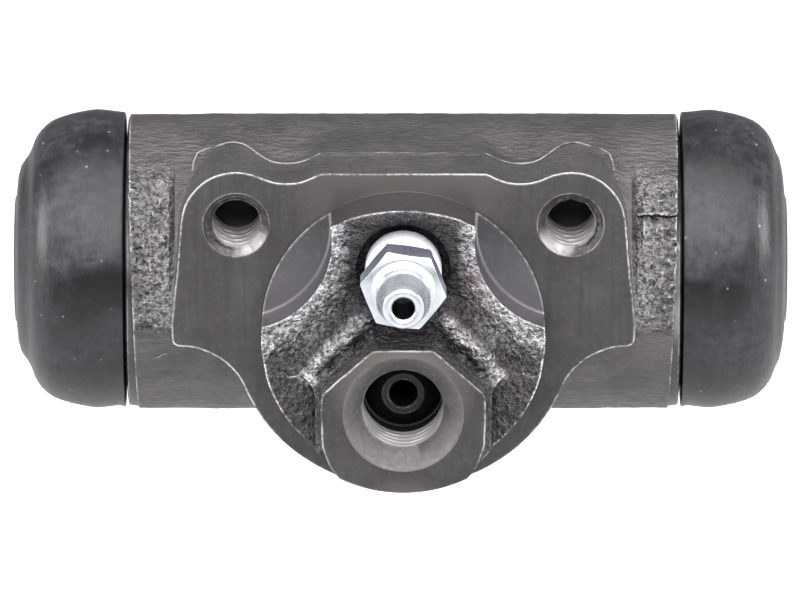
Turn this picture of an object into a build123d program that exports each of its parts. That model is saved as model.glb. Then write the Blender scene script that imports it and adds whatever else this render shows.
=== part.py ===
from build123d import *
import math
import os

# A drum-brake wheel cylinder. The origin is the centre of the pilot on the mounting face.
# The mounting face looks along -Y, +Z is up, and the bore runs along X behind the face.
# "Out" is the distance in front of the mounting face, so out is -Y.

# Barrel
barrel_radius = 15.875
barrel_length = 59.0
barrel_setback = 0.425
bore_above_pilot = 1.8
bore_wall = 4.765
collar_step = 0.3
collar_length = 1.2
collar_chamfer = 0.4
boot_recess_wall = 2.575
boot_recess_depth = 4.5
bore_chamfer = 0.5

# Mounting flange
flange_top_drop = 0.595
valley_drop = 1.1
valley_radius = 6.0
bolt_drop = 5.75
bolt_inset = 6.97
ear_radius = 5.93
flange_shoulder_radius = 1.2
flange_foot_inset = 4.78
flange_foot_height = -2.35
flange_corner_radius = 0.8
flange_foot_run = 1.1
disc_radius = 18.2
disc_thickness = 7.0
saddle_half_width = 8.3
saddle_start = 6.9

# Threaded bolt holes, at their tapping size
bolt_hole_radius = 2.55
bolt_hole_depth = 6.3
bolt_chamfer_radius = 3.5
drill_point_angle = 118.0

# Pilot, and the cast relief on its front: a floor with a column above the bleeder screw,
# a shoulder beside each spot face, and a ridge that runs round the port boss
pilot_radius = 15.05
relief_floor = 3.9
relief_slope = 52.0
column_height = 6.15
column_half_width = 8.2
column_foot = 9.0
shoulder_height = 4.85
shoulder_foot = ((7.6, 11.5), (6.9, 5.9), (9.3, 2.4), (11.6, 0.9), (15.3, -1.2))
ridge_height = 5.35
ridge_foot = ((0.0, 1.9), (3.9, 2.7), (8.2, -0.1), (11.2, -2.3), (15.3, -2.7))

# Spot faces beside the bolt holes
spot_face_radius = 10.2
spot_face_rise = 0.5

# Inlet port boss and its inverted-flare port
boss_height = 10.5
boss_half_width = 8.72
boss_top = 0.87
boss_top_half_width = 3.2
boss_shoulder = -4.12
boss_waist = -10.2
boss_knee_half_width = 7.9
boss_knee = -12.1
boss_foot_half_width = 6.6
boss_foot = -13.5
port_drop = 6.26
port_thread_radius = 4.25
port_thread_end = 3.9
port_relief_radius = 4.6
port_chamfer_radius = 6.42
port_seat_depth = 6.7
port_seat_radius = 2.24
port_passage_radius = 1.5
flare_seat_angle = 45.0

# Bleeder screw and its hole
bleeder_drop = 3.13
bleeder_recess_radius = 5.0
bleeder_recess_height = 3.8
bleeder_hole_radius = 3.45
bleeder_thread_end = -1.4
bleeder_passage_radius = 1.2
bleeder_running_gap = 0.05
bleeder_tip_radius = 2.8
bleeder_tip_neck = 1.0
bleeder_point_radius = 1.0
bleeder_shank_radius = 4.05
bleeder_shank_groove_radius = 3.7
bleeder_shank_groove = 1.0
bleeder_shank_gap = 0.5
hex_width = 8.0
hex_start = 8.95
hex_thickness = 3.85
hex_turn = -8.4
hex_face_radius = 3.55
hex_chamfer_angle = 30.0
nipple_length = 5.6
nipple_neck_radius = 2.35
nipple_bulb_radius = 2.85
nipple_tip_radius = 2.2
nipple_neck_length = 0.9
nipple_bulb_length = 1.7
nipple_round = 0.3
cross_hole_radius = 0.9

# Pistons, cups, expanders and spring
piston_clearance = 0.03
piston_end_inset = 2.5
piston_length = 14.5
piston_chamfer = 0.8
link_socket_radius = 4.0
link_socket_depth = 8.0
cup_length = 6.5
cup_base = 2.6
cup_clearance = 0.04
cup_lip_wall = 1.6
cup_taper = 0.5
expander_sheet = 0.5
expander_gap = 0.1
expander_hub_radius = 4.1
expander_hub_height = 2.4
expander_rim = 1.6
part_gap = 0.1
spring_wire_radius = 0.5
spring_wire_sides = 8
spring_turns = 6.5
spring_clearance = 0.35

# Boots
boot_proud = 0.195
boot_rim_step = 0.23
boot_rim_gap = 0.4
boot_length = 11.7
boot_end_step = 9.27
boot_nub_bevel = 0.4
boot_nub_drop = 1.1
boot_nub_step = 5.22
boot_crease_drop = 1.6
boot_crease_step = 4.07
boot_shoulder_drop = 3.1
boot_shoulder_step = 1.79
boot_shoulder_length = 5.3
boot_shoulder_end_step = 0.71
boot_belly = 3.1
boot_rim_length = 1.1
boot_wall = 1.9
boot_spigot_squeeze = 0.08
boot_spigot_gap = 0.6
boot_end_wall = 2.2

barrel_end = barrel_length / 2
barrel_top = bore_above_pilot + barrel_radius
bore_behind_face = barrel_radius + barrel_setback
bore_radius = barrel_radius - bore_wall
boot_recess_radius = barrel_radius - boot_recess_wall
flange_top = barrel_top - flange_top_drop
flange_foot_half_width = barrel_end - flange_foot_inset
valley_height = flange_top - valley_drop
bolt_x = flange_foot_half_width - bolt_inset
bolt_height = flange_top - bolt_drop
bleeder_above_pilot = bolt_height - bleeder_drop

bore_axis = Axis((0, bore_behind_face, bore_above_pilot), (1, 0, 0))
bore_plane = Plane(origin=(0, bore_behind_face, bore_above_pilot), x_dir=(1, 0, 0), z_dir=(0, -1, 0))
port_axis = Axis((0, 0, -port_drop), (0, -1, 0))
port_plane = Plane(origin=(0, 0, -port_drop), x_dir=(0, -1, 0), z_dir=(-1, 0, 0))
bleeder_axis = Axis((0, 0, bleeder_above_pilot), (0, -1, 0))
bleeder_plane = Plane(origin=(0, 0, bleeder_above_pilot), x_dir=(0, -1, 0), z_dir=(-1, 0, 0))

# The valley between the flange's ear and its top is an arc that touches the ear's arc.
valley_centre_height = valley_height + valley_radius
ear_to_valley = ear_radius + valley_radius
valley_centre_x = bolt_x - math.sqrt(ear_to_valley**2 - (valley_centre_height - bolt_height) ** 2)
shoulder_x = valley_centre_x - math.sqrt(valley_radius**2 - (valley_centre_height - flange_top) ** 2)
ear_share = ear_radius / ear_to_valley
ear_start = (
    bolt_x + (valley_centre_x - bolt_x) * ear_share,
    bolt_height + (valley_centre_height - bolt_height) * ear_share,
)

# The flange's side leans out towards its foot and touches the ear's arc.
foot_run = flange_foot_half_width - bolt_x
foot_drop = bolt_height - flange_foot_height
side_lean = math.atan2(foot_drop, foot_run) - math.acos(ear_radius / math.hypot(foot_run, foot_drop))
ear_end = (
    bolt_x + ear_radius * math.cos(side_lean),
    bolt_height - ear_radius * math.sin(side_lean),
)

# The foot flares into the round disc through an arc that touches both.
flare_centre_x = flange_foot_half_width - flange_foot_run
flare_radius = (flare_centre_x**2 + flange_foot_height**2 - disc_radius**2) / (
    2 * (disc_radius + flange_foot_height)
)
flare_centre_height = flange_foot_height - flare_radius
disc_share = disc_radius / (disc_radius + flare_radius)
disc_start = (flare_centre_x * disc_share, flare_centre_height * disc_share)

collar_radius = barrel_radius - collar_step
drill_point_length = bolt_hole_radius / math.tan(math.radians(drill_point_angle / 2))
seat_tip = boss_height - port_seat_depth
seat_foot = seat_tip - (port_relief_radius - port_seat_radius) / math.tan(math.radians(flare_seat_angle))
bleeder_seat_end = bleeder_thread_end - (bleeder_hole_radius - bleeder_passage_radius)

# The casting: barrel, flange, pilot and bosses in one piece

with BuildPart() as cylinder_body:
    with BuildSketch(Plane.XZ) as flange_outline:
        with BuildLine() as flange_edge:
            Line((0, flange_top), (shoulder_x, flange_top))
            ThreePointArc((shoulder_x, flange_top), (valley_centre_x, valley_height), ear_start)
            ThreePointArc(
                ear_start,
                (
                    bolt_x + ear_radius * math.cos(math.radians(50)),
                    bolt_height + ear_radius * math.sin(math.radians(50)),
                ),
                ear_end,
            )
            Line(ear_end, (flange_foot_half_width, flange_foot_height))
            Line((flange_foot_half_width, flange_foot_height), (flare_centre_x, flange_foot_height))
            RadiusArc((flare_centre_x, flange_foot_height), disc_start, -flare_radius)
            RadiusArc(disc_start, (0, -disc_radius), disc_radius)
            mirror(about=Plane.YZ)
        make_face()
        foot_corners = [
            corner
            for corner in flange_outline.vertices()
            if abs(corner.X) > flange_foot_half_width - 0.01
        ]
        fillet(foot_corners, flange_corner_radius)
        shoulders = [
            corner
            for corner in flange_outline.vertices()
            if abs(abs(corner.X) - shoulder_x) < 0.01
        ]
        fillet(shoulders, flange_shoulder_radius)
    extrude(amount=-bore_behind_face)
    # Below the barrel the disc's back slopes up to the barrel.
    with BuildSketch(Plane.YZ):
        with BuildLine():
            Polyline(
                (disc_thickness, -disc_radius - 1),
                (disc_thickness, -disc_radius),
                (bore_behind_face, bore_above_pilot - barrel_radius),
                (bore_behind_face + 1, -disc_radius - 1),
                close=True,
            )
        make_face()
    extrude(amount=disc_radius, both=True, mode=Mode.SUBTRACT)
    # The saddle behind the flange's top runs up to the barrel's crown.
    with BuildSketch(Plane.YZ):
        with BuildLine():
            Polyline(
                (saddle_start, flange_top),
                (bore_behind_face, barrel_top),
                (bore_behind_face, bore_above_pilot),
                (saddle_start, bore_above_pilot),
                close=True,
            )
        make_face()
    extrude(amount=saddle_half_width, both=True)
    with BuildSketch(bore_plane):
        with BuildLine():
            Polyline(
                (-barrel_end, 0),
                (-barrel_end, collar_radius - collar_chamfer),
                (-barrel_end + collar_chamfer, collar_radius),
                (-barrel_end + collar_length, collar_radius),
                (-barrel_end + collar_length, barrel_radius),
                (barrel_end - collar_length, barrel_radius),
                (barrel_end - collar_length, collar_radius),
                (barrel_end - collar_chamfer, collar_radius),
                (barrel_end, collar_radius - collar_chamfer),
                (barrel_end, 0),
                close=True,
            )
        make_face()
    revolve(axis=bore_axis)
    # Pilot and its relief, whose raised parts slope down to the floor between them
    with BuildSketch(Plane.XZ):
        Circle(pilot_radius)
    extrude(amount=relief_floor)
    with BuildSketch(Plane.XZ.offset(relief_floor)):
        with Locations((0, column_foot)):
            Rectangle(2 * column_half_width, pilot_radius, align=(Align.CENTER, Align.MIN))
    extrude(amount=column_height - relief_floor, taper=relief_slope)
    with BuildSketch(Plane.XZ.offset(relief_floor)):
        with BuildLine():
            Polyline(
                *shoulder_foot,
                (2 * pilot_radius, -pilot_radius),
                (2 * pilot_radius, pilot_radius),
                close=True,
            )
        make_face()
        mirror(about=Plane.YZ)
    extrude(amount=shoulder_height - relief_floor, taper=relief_slope)
    with BuildSketch(Plane.XZ.offset(relief_floor)):
        with BuildLine():
            Polyline(
                *ridge_foot,
                (2 * pilot_radius, -2 * pilot_radius),
                (0, -2 * pilot_radius),
                close=True,
            )
        make_face()
        mirror(about=Plane.YZ)
    extrude(amount=ridge_height - relief_floor, taper=relief_slope)

    # Port boss
    with BuildSketch(Plane.XZ):
        with BuildLine():
            Polyline(
                (boss_top_half_width, boss_top),
                (boss_half_width, boss_shoulder),
                (boss_half_width, boss_waist),
                (boss_knee_half_width, boss_knee),
                (boss_foot_half_width, boss_foot),
                (boss_foot_half_width, -pilot_radius),
                (-boss_foot_half_width, -pilot_radius),
                (-boss_foot_half_width, boss_foot),
                (-boss_knee_half_width, boss_knee),
                (-boss_half_width, boss_waist),
                (-boss_half_width, boss_shoulder),
                (-boss_top_half_width, boss_top),
                close=True,
            )
        make_face()
    extrude(amount=boss_height)

    # The pilot's round is turned over the relief and the boss's foot together.
    with BuildSketch(Plane.XZ):
        Circle(3 * pilot_radius)
        Circle(pilot_radius, mode=Mode.SUBTRACT)
    extrude(amount=boss_height, mode=Mode.SUBTRACT)

    # Spot faces beside the bolt holes
    with BuildSketch(Plane.XZ.offset(spot_face_rise)):
        with Locations((-bolt_x, bolt_height), (bolt_x, bolt_height)):
            Circle(spot_face_radius)
    extrude(amount=column_height, mode=Mode.SUBTRACT)

    # Bolt holes, each with a chamfered mouth and a drill point
    for side in (-1, 1):
        hole_plane = Plane(origin=(side * bolt_x, 0, bolt_height), x_dir=(0, -1, 0), z_dir=(-1, 0, 0))
        with BuildSketch(hole_plane):
            with BuildLine():
                Polyline(
                    (0, 0),
                    (0, bolt_chamfer_radius),
                    (bolt_hole_radius - bolt_chamfer_radius, bolt_hole_radius),
                    (-bolt_hole_depth, bolt_hole_radius),
                    (-bolt_hole_depth - drill_point_length, 0),
                    close=True,
                )
            make_face()
        revolve(axis=Axis((side * bolt_x, 0, bolt_height), (0, -1, 0)), mode=Mode.SUBTRACT)

    # Bore, with a chamfered recess for a boot at each end
    with BuildSketch(bore_plane):
        with BuildLine():
            Polyline(
                (-barrel_end, 0),
                (-barrel_end, boot_recess_radius),
                (boot_recess_depth - barrel_end, boot_recess_radius),
                (boot_recess_depth - barrel_end, bore_radius + bore_chamfer),
                (boot_recess_depth + bore_chamfer - barrel_end, bore_radius),
                (barrel_end - boot_recess_depth - bore_chamfer, bore_radius),
                (barrel_end - boot_recess_depth, bore_radius + bore_chamfer),
                (barrel_end - boot_recess_depth, boot_recess_radius),
                (barrel_end, boot_recess_radius),
                (barrel_end, 0),
                close=True,
            )
        make_face()
    revolve(axis=bore_axis, mode=Mode.SUBTRACT)

    # Inlet port: below its thread the port widens round the flare seat that stands in its floor,
    # and a passage runs through the seat to the bore
    with BuildSketch(port_plane):
        with BuildLine():
            Polyline(
                (boss_height, 0),
                (boss_height, port_chamfer_radius),
                (boss_height - port_chamfer_radius + port_thread_radius, port_thread_radius),
                (port_thread_end, port_thread_radius),
                (port_thread_end, port_relief_radius),
                (seat_foot, port_relief_radius),
                (seat_tip, port_seat_radius),
                (seat_tip, port_passage_radius),
                (-bore_behind_face, port_passage_radius),
                (-bore_behind_face, 0),
                close=True,
            )
        make_face()
    revolve(axis=port_axis, mode=Mode.SUBTRACT)

    # Bleeder hole: a flat recess, the threaded stretch, a conical seat and a passage to the bore
    with BuildSketch(bleeder_plane):
        with BuildLine():
            Polyline(
                (column_height, 0),
                (column_height, bleeder_recess_radius),
                (bleeder_recess_height, bleeder_recess_radius),
                (bleeder_recess_height, bleeder_hole_radius),
                (bleeder_thread_end, bleeder_hole_radius),
                (bleeder_seat_end, bleeder_passage_radius),
                (-bore_behind_face, bleeder_passage_radius),
                (-bore_behind_face, 0),
                close=True,
            )
        make_face()
    revolve(axis=bleeder_axis, mode=Mode.SUBTRACT)
cylinder_body.part.label = "cylinder_body"

# Bleeder screw: hose nipple, hexagon, shank, thread at its core size and conical tip
hex_end = hex_start + hex_thickness
nipple_end = hex_end + nipple_length
bulb_foot = hex_end + nipple_neck_length
bulb_start = bulb_foot + nipple_bulb_radius - nipple_neck_radius
bulb_end = bulb_foot + nipple_bulb_length
hex_corner_radius = hex_width / 2 / math.cos(math.radians(30))
hex_chamfer = (hex_corner_radius - hex_face_radius) * math.tan(math.radians(hex_chamfer_angle))
thread_radius = bleeder_hole_radius - bleeder_running_gap
shank_start = bleeder_recess_height + bleeder_shank_gap
groove_start = hex_start - bleeder_shank_groove
tip_neck_end = bleeder_thread_end + bleeder_tip_neck
tip_cone_start = bleeder_thread_end - (bleeder_hole_radius - bleeder_tip_radius) + 2 * bleeder_running_gap
tip_end = tip_cone_start - (bleeder_tip_radius - bleeder_point_radius)
cross_hole_out = tip_cone_start + cross_hole_radius + bleeder_running_gap

with BuildPart() as bleeder_screw:
    with BuildSketch(Plane.XZ.offset(hex_start)):
        with Locations((0, bleeder_above_pilot)):
            RegularPolygon(hex_corner_radius, 6, rotation=hex_turn)
    extrude(amount=hex_thickness)
    with BuildSketch(bleeder_plane):
        with BuildLine():
            Polyline(
                (hex_start, 0),
                (hex_start, hex_face_radius),
                (hex_start + hex_chamfer, hex_corner_radius),
                (hex_end - hex_chamfer, hex_corner_radius),
                (hex_end, hex_face_radius),
                (hex_end, 0),
                close=True,
            )
        make_face()
    revolve(axis=bleeder_axis, mode=Mode.INTERSECT)
    with BuildSketch(bleeder_plane):
        with BuildLine():
            Polyline(
                (tip_end, 0),
                (tip_end, bleeder_point_radius),
                (tip_cone_start, bleeder_tip_radius),
                (tip_neck_end, bleeder_tip_radius),
                (tip_neck_end, thread_radius),
                (shank_start, thread_radius),
                (shank_start, bleeder_shank_radius),
                (groove_start, bleeder_shank_radius),
                (groove_start, bleeder_shank_groove_radius),
                (hex_start, bleeder_shank_groove_radius),
                (hex_end, bleeder_shank_groove_radius),
                (hex_end, nipple_neck_radius),
                (bulb_foot, nipple_neck_radius),
                (bulb_start, nipple_bulb_radius),
                (bulb_end, nipple_bulb_radius),
                (nipple_end, nipple_tip_radius),
                (nipple_end, 0),
                close=True,
            )
        make_face()
    revolve(axis=bleeder_axis)
    with BuildSketch(Plane.XZ.offset(nipple_end)):
        with Locations((0, bleeder_above_pilot)):
            Circle(bleeder_passage_radius)
    extrude(amount=cross_hole_out - nipple_end, mode=Mode.SUBTRACT)
    with BuildSketch(Plane.YZ):
        with Locations((-cross_hole_out, bleeder_above_pilot)):
            Circle(cross_hole_radius)
    extrude(amount=bleeder_hole_radius, both=True, mode=Mode.SUBTRACT)
    nipple_mouth = bleeder_screw.edges().filter_by(GeomType.CIRCLE).sort_by(Axis.Y)[0:2]
    fillet(nipple_mouth.sort_by(SortBy.RADIUS)[-1], nipple_round)
    chamfer(nipple_mouth.sort_by(SortBy.RADIUS)[0], nipple_round)
bleeder_screw.part.label = "bleeder_screw"

# Right piston, with the socket for the brake shoe's link
piston_radius = bore_radius - piston_clearance
piston_outer_end = barrel_end - piston_end_inset
piston_inner_end = piston_outer_end - piston_length
with BuildPart() as piston_right:
    with BuildSketch(bore_plane):
        with BuildLine():
            Polyline(
                (piston_inner_end, 0),
                (piston_inner_end, piston_radius - piston_chamfer),
                (piston_inner_end + piston_chamfer, piston_radius),
                (piston_outer_end - piston_chamfer, piston_radius),
                (piston_outer_end, piston_radius - piston_chamfer),
                (piston_outer_end, link_socket_radius + piston_chamfer),
                (piston_outer_end - piston_chamfer, link_socket_radius),
                (piston_outer_end - link_socket_depth, link_socket_radius),
                (piston_outer_end - link_socket_depth - link_socket_radius / 2, 0),
                close=True,
            )
        make_face()
    revolve(axis=bore_axis)
piston_right.part.label = "piston_right"

# Right cup: its lip opens towards the middle of the bore
cup_radius = bore_radius - cup_clearance
cup_floor = piston_inner_end - cup_base
cup_lip_end = piston_inner_end - cup_length
with BuildPart() as cup_right:
    with BuildSketch(bore_plane):
        with BuildLine():
            Polyline(
                (piston_inner_end, 0),
                (piston_inner_end, cup_radius - cup_taper),
                (cup_lip_end + cup_lip_wall, cup_radius),
                (cup_lip_end, cup_radius),
                (cup_lip_end, cup_radius - cup_lip_wall / 2),
                (cup_floor, cup_radius - cup_taper - cup_lip_wall),
                (cup_floor, 0),
                close=True,
            )
        make_face()
    revolve(axis=bore_axis)
cup_right.part.label = "cup_right"

# Right expander: a pressed dish whose hub centres the spring and whose rim spreads the cup's lip
dish_face = cup_floor - expander_sheet
dish_edge = cup_radius - cup_taper - cup_lip_wall - expander_sheet - expander_gap
with BuildPart() as expander_right:
    with BuildSketch(bore_plane):
        with BuildLine():
            Polyline(
                (dish_face - expander_hub_height, 0),
                (dish_face - expander_hub_height, expander_hub_radius),
                (dish_face, expander_hub_radius),
                (dish_face, dish_edge - expander_sheet),
                (dish_face - expander_rim, dish_edge),
                (dish_face - expander_rim, dish_edge + expander_sheet),
                (cup_floor, dish_edge),
                (cup_floor, expander_hub_radius - expander_sheet),
                (dish_face - expander_hub_height + expander_sheet, expander_hub_radius - expander_sheet),
                (dish_face - expander_hub_height + expander_sheet, 0),
                close=True,
            )
        make_face()
    revolve(axis=bore_axis)
expander_right.part.label = "expander_right"

# Return spring between the two expanders
spring_radius = expander_hub_radius + spring_clearance + spring_wire_radius
spring_end = dish_face - spring_wire_radius - part_gap
with BuildPart() as return_spring:
    with BuildLine() as spring_path:
        Helix(
            pitch=2 * spring_end / spring_turns,
            height=2 * spring_end,
            radius=spring_radius,
            center=(-spring_end, bore_behind_face, bore_above_pilot),
            direction=(1, 0, 0),
        )
    with BuildSketch(Plane(origin=spring_path.line @ 0, z_dir=spring_path.line % 0)):
        RegularPolygon(spring_wire_radius, spring_wire_sides)
    sweep()
return_spring.part.label = "return_spring"

# Right boot: a spigot held in the barrel's recess, a domed wall and an end nub with the link's hole
boot_radius = barrel_radius + boot_proud
boot_rim_radius = boot_radius - boot_rim_step
boot_shoulder_end_radius = boot_radius - boot_shoulder_end_step
boot_shoulder_radius = boot_radius - boot_shoulder_step
boot_crease_radius = boot_radius - boot_crease_step
boot_nub_radius = boot_radius - boot_nub_step
boot_end_radius = boot_radius - boot_end_step
boot_hole_radius = boot_end_radius - boot_end_wall
boot_start = barrel_end + boot_rim_gap
boot_end = boot_start + boot_length
spigot_radius = boot_recess_radius + boot_spigot_squeeze
spigot_start = barrel_end - boot_recess_depth + boot_spigot_gap
with BuildPart() as boot_right:
    with BuildSketch(bore_plane):
        with BuildLine():
            Polyline(
                (boot_end, boot_hole_radius),
                (boot_end, boot_end_radius),
                (boot_end - boot_nub_bevel, boot_nub_radius - boot_nub_drop),
                (boot_end - boot_nub_drop, boot_nub_radius),
                (boot_end - boot_crease_drop, boot_crease_radius),
            )
            ThreePointArc(
                (boot_end - boot_crease_drop, boot_crease_radius),
                (boot_end - boot_shoulder_drop, boot_shoulder_radius),
                (boot_end - boot_shoulder_length, boot_shoulder_end_radius),
            )
            Polyline(
                (boot_end - boot_shoulder_length, boot_shoulder_end_radius),
                (boot_start + boot_belly, boot_radius),
                (boot_start + boot_rim_length, boot_rim_radius),
                (boot_start, boot_rim_radius),
                (boot_start, spigot_radius),
                (spigot_start, spigot_radius),
                (spigot_start, spigot_radius - boot_wall),
                (boot_start + boot_wall, spigot_radius - boot_wall),
                (boot_start + boot_belly, boot_radius - boot_wall),
                (boot_end - boot_shoulder_length, boot_shoulder_end_radius - boot_wall),
            )
            ThreePointArc(
                (boot_end - boot_shoulder_length, boot_shoulder_end_radius - boot_wall),
                (
                    boot_end - boot_shoulder_drop - boot_wall * math.sqrt(0.5),
                    boot_shoulder_radius - boot_wall * math.sqrt(0.5),
                ),
                (boot_end - boot_crease_drop - boot_wall, boot_crease_radius - boot_wall),
            )
            Polyline(
                (boot_end - boot_crease_drop - boot_wall, boot_crease_radius - boot_wall),
                (boot_end - boot_wall, boot_hole_radius),
                (boot_end, boot_hole_radius),
            )
        make_face()
    revolve(axis=bore_axis)
boot_right.part.label = "boot_right"

# The left pieces mirror the right ones.
with BuildPart() as piston_left:
    mirror(piston_right.part, about=Plane.YZ)
piston_left.part.label = "piston_left"

with BuildPart() as cup_left:
    mirror(cup_right.part, about=Plane.YZ)
cup_left.part.label = "cup_left"

with BuildPart() as expander_left:
    mirror(expander_right.part, about=Plane.YZ)
expander_left.part.label = "expander_left"

with BuildPart() as boot_left:
    mirror(boot_right.part, about=Plane.YZ)
boot_left.part.label = "boot_left"

os.makedirs("parts", exist_ok=True)
export_step(cylinder_body.part, "parts/cylinder_body.step")
export_step(bleeder_screw.part, "parts/bleeder_screw.step")
export_step(piston_left.part, "parts/piston_left.step")
export_step(piston_right.part, "parts/piston_right.step")
export_step(cup_left.part, "parts/cup_left.step")
export_step(cup_right.part, "parts/cup_right.step")
export_step(expander_left.part, "parts/expander_left.step")
export_step(expander_right.part, "parts/expander_right.step")
export_step(return_spring.part, "parts/return_spring.step")
export_step(boot_left.part, "parts/boot_left.step")
export_step(boot_right.part, "parts/boot_right.step")
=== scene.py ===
import math
import time
from functools import partial
import bpy
import bmesh
from mathutils import Matrix, Vector, noise


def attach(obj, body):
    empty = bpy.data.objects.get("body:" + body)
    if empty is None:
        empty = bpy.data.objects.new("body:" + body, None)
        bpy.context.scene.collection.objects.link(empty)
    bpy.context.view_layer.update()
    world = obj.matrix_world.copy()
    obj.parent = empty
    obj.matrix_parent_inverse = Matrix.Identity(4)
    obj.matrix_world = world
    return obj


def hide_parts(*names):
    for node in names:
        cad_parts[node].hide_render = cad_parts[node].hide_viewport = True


# Wheel cylinder. The casting is made the way a foundry makes it: a rough blank first, then
# cutters machine the faces, the bore, the holes and their threads.
# Lengths are in millimetres until a piece is finished. -Y is out of the mounting face.

startTime = time.time()
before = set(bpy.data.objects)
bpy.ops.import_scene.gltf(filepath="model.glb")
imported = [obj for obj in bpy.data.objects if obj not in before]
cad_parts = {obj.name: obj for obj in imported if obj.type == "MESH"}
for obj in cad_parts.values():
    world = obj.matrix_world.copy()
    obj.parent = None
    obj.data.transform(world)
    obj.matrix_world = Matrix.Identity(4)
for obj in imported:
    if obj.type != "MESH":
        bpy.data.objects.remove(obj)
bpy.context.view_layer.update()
scene = bpy.context.scene


def report(stage):
    print(f"{stage}: {time.time() - startTime:.1f} s")


def arcPoints(centre, radius, startAngle, endAngle, count):
    points = []
    for index in range(count + 1):
        angle = startAngle + (endAngle - startAngle) * index / count
        points.append((centre[0] + radius * math.cos(angle), centre[1] + radius * math.sin(angle)))
    return points


def prism(bm, outline, nearY, farY, finish=0):  # outline in X and Z, pushed along Y
    verts = [bm.verts.new((x, nearY, z)) for x, z in outline]
    face = bm.faces.new(verts)
    moved = bmesh.ops.extrude_face_region(bm, geom=[face])
    ends = [item for item in moved["geom"] if isinstance(item, bmesh.types.BMVert)]
    bmesh.ops.translate(bm, verts=ends, vec=(0, farY - nearY, 0))
    for side in bm.faces:
        side.material_index = finish
    return ends


def turned(bm, profile, origin, axis, steps):  # profile holds (along, radius) points round a level axis
    origin, axis, up = Vector(origin), Vector(axis), Vector((0, 0, 1))
    verts = [bm.verts.new(origin + axis * along + up * radius) for along, radius in profile]
    edges = [bm.edges.new(pair) for pair in zip(verts, verts[1:])]
    bmesh.ops.spin(bm, geom=verts + edges, cent=origin, axis=axis, angle=math.tau,
                   steps=steps, use_merge=True, use_duplicate=False)
    bmesh.ops.remove_doubles(bm, verts=bm.verts, dist=0.0005)


def cutThread(bm, origin, axis, pitch, depth, nearEnd, farEnd, rootRadius):
    # Pushes the walls of a turned cutter out along a helix, fading at both ends.
    origin, axis, up = Vector(origin), Vector(axis), Vector((0, 0, 1))
    side = axis.cross(up)
    for vert in bm.verts:
        offset = vert.co - origin
        along = offset.dot(axis)
        if not nearEnd <= along <= farEnd:
            continue
        across = offset - axis * along
        if abs(across.length - rootRadius) > 0.01:
            continue
        angle = math.atan2(across.dot(side), across.dot(up)) / math.tau
        phase = (along / pitch - angle) % 1.0
        crest = max(0.0, min(1.0, 1.25 - abs(phase - 0.5) * 3.1))
        fade = min(1.0, (along - nearEnd) / pitch, (farEnd - along) / (0.3 * pitch) + 0.3)
        vert.co += across.normalized() * depth * crest * max(0.0, fade)


def stretch(start, end, radius, step):  # points along a straight wall, for a thread to shape
    count = max(1, round(abs(end - start) / step))
    return [(start + (end - start) * index / count, radius) for index in range(count + 1)]


def meshObject(name, bm, materials=()):
    bmesh.ops.recalc_face_normals(bm, faces=bm.faces)
    mesh = bpy.data.meshes.new(name)
    bm.to_mesh(mesh)
    bm.free()
    for material in materials:
        mesh.materials.append(material)
    made = bpy.data.objects.new(name, mesh)
    scene.collection.objects.link(made)
    return made


def applyModifiers(piece):
    depsgraph = bpy.context.evaluated_depsgraph_get()
    shaped = bpy.data.meshes.new_from_object(piece.evaluated_get(depsgraph))
    piece.modifiers.clear()
    old = piece.data
    piece.data = shaped
    bpy.data.meshes.remove(old)


def combine(piece, bm, materials, operation="DIFFERENCE"):
    cutter = meshObject("cutter", bm, materials)
    boolean = piece.modifiers.new("Cut", "BOOLEAN")
    boolean.object = cutter
    boolean.operation = operation
    boolean.solver = "MANIFOLD"
    applyModifiers(piece)
    bpy.data.meshes.remove(cutter.data)


def finishPiece(piece, body, nodes, sharpAngle=40):
    piece.data.transform(Matrix.Scale(0.001, 4))
    piece.data.shade_smooth()
    piece.data.set_sharp_from_angle(angle=math.radians(sharpAngle))
    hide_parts(*nodes)
    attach(piece, body)


def hexColour(code):
    channels = [int(code[index:index + 2], 16) / 255 for index in (1, 3, 5)]
    return [c / 12.92 if c <= 0.04045 else ((c + 0.055) / 1.055) ** 2.4 for c in channels] + [1.0]


def addNode(tree, kind, settings=(), links=()):
    # A plain word as the settings is the operation, and a list of links fills the inputs in order.
    node = tree.nodes.new("ShaderNode" + kind)
    if kind == "Mix":
        node.data_type = "RGBA"
    if isinstance(settings, str):
        settings = {"operation": settings}
    for name, value in dict(settings).items():
        if isinstance(value, str) and value.startswith("#"):
            value = hexColour(value)
        if name == "ramp":
            for stop, (position, code) in zip(node.color_ramp.elements, value):
                stop.position, stop.color = position, hexColour(code)
        elif isinstance(name, int) or name in node.inputs:
            node.inputs[name].default_value = value
        else:
            setattr(node, name, value)
    for name, source in links.items() if isinstance(links, dict) else enumerate(links):
        if isinstance(source, bpy.types.Node):
            source = source.outputs[2 if source.bl_idname == "ShaderNodeMix" else 0]
        tree.links.new(source, node.inputs[name])
    return node


def emptyTree(owner):  # clears a material's or a world's nodes, and gives addNode for its tree
    owner.use_nodes = True
    owner.node_tree.nodes.clear()
    return partial(addNode, owner.node_tree)


def startMaterial(name):
    material = bpy.data.materials.new(name)
    node = emptyTree(material)
    spot = node("TexCoord")
    place = node("VectorMath", {"operation": "SCALE", "Scale": 1000.0}, [spot.outputs["Object"]])
    return material, node, place  # the place is in millimetres


def endMaterial(material, settings, links):
    shader = addNode(material.node_tree, "BsdfPrincipled", settings, links)
    addNode(material.node_tree, "OutputMaterial", links=[shader])
    return material


def within(node, zone, source, start, full, most=1.0, least=0.0):
    # How far a value has come from start to full, inside a zone
    share = node("MapRange", {1: start, 2: full, 3: least, 4: most}, [source])
    return node("Math", "MULTIPLY", [share, zone])


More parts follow.
